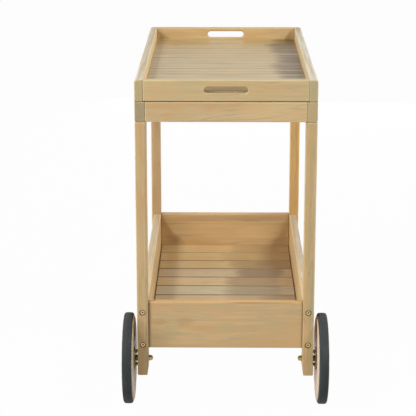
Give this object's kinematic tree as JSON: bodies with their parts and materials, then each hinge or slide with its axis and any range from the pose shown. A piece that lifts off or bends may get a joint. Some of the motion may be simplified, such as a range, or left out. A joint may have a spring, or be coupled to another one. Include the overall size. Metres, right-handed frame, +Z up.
{
  "type": "rolling bar cart",
  "caption": "Wooden serving cart: lift-off tray with hand slots over a slatted lower box, on square legs, with rubber-tyred wooden wheels at one end.",
  "frame": {"origin": "on the floor, under the middle of the cart's bounding box", "axes": "+Z up, +Y along the length from the wheel end to the end with plain legs, +X across the cart to the right as seen from the wheel end"},
  "size_m": [0.5452, 0.9934, 0.8626],
  "materials": {
    "frame_wood": "clear satin oil on a pale honey-brown hardwood",
    "box_wood": "clear satin oil on a pale honey-brown hardwood",
    "shelf_wood": "clear satin oil on a pale honey-brown hardwood",
    "tray_wood": "clear satin oil on a pale honey-brown hardwood",
    "tray_floor_wood": "clear satin oil with a greyish sheen",
    "wheel_wood": "clear satin oil on turned wood",
    "tyre_rubber": "matt dark grey rubber",
    "bolt_zinc": "yellow zinc plating",
    "axle_zinc": "yellow zinc plating",
    "hub_steel": "dull zinc plating"
  },
  "bodies": {
    "cart": {"box_front_panel": "box_wood", "box_left_board": "box_wood", "box_rear_panel": "box_wood", "box_right_board": "box_wood", "frame_bolt_front_left_lower": "bolt_zinc", "frame_bolt_front_left_upper": "bolt_zinc", "frame_bolt_front_right_lower": "bolt_zinc", "frame_bolt_front_right_upper": "bolt_zinc", "frame_bolt_rear_left_lower": "bolt_zinc", "frame_bolt_rear_left_upper": "bolt_zinc", "frame_bolt_rear_right_lower": "bolt_zinc", "frame_bolt_rear_right_upper": "bolt_zinc", "frame_front_rail": "frame_wood", "frame_left_rail": "frame_wood", "frame_rear_rail": "frame_wood", "frame_right_rail": "frame_wood", "front_left_leg": "frame_wood", "front_right_leg": "frame_wood", "left_axle_bolt": "axle_zinc", "left_axle_nut": "axle_zinc", "left_axle_spacer": "axle_zinc", "rear_left_leg": "frame_wood", "rear_right_leg": "frame_wood", "right_axle_bolt": "axle_zinc", "right_axle_nut": "axle_zinc", "right_axle_spacer": "axle_zinc", "shelf_left_batten": "shelf_wood", "shelf_right_batten": "shelf_wood", "shelf_slat_01": "shelf_wood", "shelf_slat_02": "shelf_wood", "shelf_slat_03": "shelf_wood", "shelf_slat_04": "shelf_wood", "shelf_slat_05": "shelf_wood", "shelf_slat_06": "shelf_wood", "shelf_slat_07": "shelf_wood", "shelf_slat_08": "shelf_wood", "shelf_slat_09": "shelf_wood", "shelf_slat_10": "shelf_wood"},
    "tray": {"tray_front_panel": "tray_wood", "tray_left_batten": "tray_wood", "tray_left_rail": "tray_wood", "tray_rear_panel": "tray_wood", "tray_right_batten": "tray_wood", "tray_right_rail": "tray_wood", "tray_slat_01": "tray_floor_wood", "tray_slat_02": "tray_floor_wood", "tray_slat_03": "tray_floor_wood", "tray_slat_04": "tray_floor_wood", "tray_slat_05": "tray_floor_wood", "tray_slat_06": "tray_floor_wood", "tray_slat_07": "tray_floor_wood", "tray_slat_08": "tray_floor_wood", "tray_slat_09": "tray_floor_wood", "tray_slat_10": "tray_floor_wood"},
    "left_wheel": {"left_hub": "hub_steel", "left_tyre": "tyre_rubber", "left_wheel_disc": "wheel_wood"},
    "right_wheel": {"right_hub": "hub_steel", "right_tyre": "tyre_rubber", "right_wheel_disc": "wheel_wood"}
  },
  "joints": [
    {"name": "left_wheel_spin", "type": "hinge", "parent": "cart", "child": "left_wheel", "pos_m": [-0.253, -0.37725, 0.1195], "axis": [1, 0, 0], "continuous": true},
    {"name": "right_wheel_spin", "type": "hinge", "parent": "cart", "child": "right_wheel", "pos_m": [0.253, -0.37725, 0.1195], "axis": [1, 0, 0], "continuous": true},
    {"name": "tray_lift", "type": "slide", "parent": "cart", "child": "tray", "axis": [0, 0, 1], "range_m": [0, 0.15]}
  ]
}
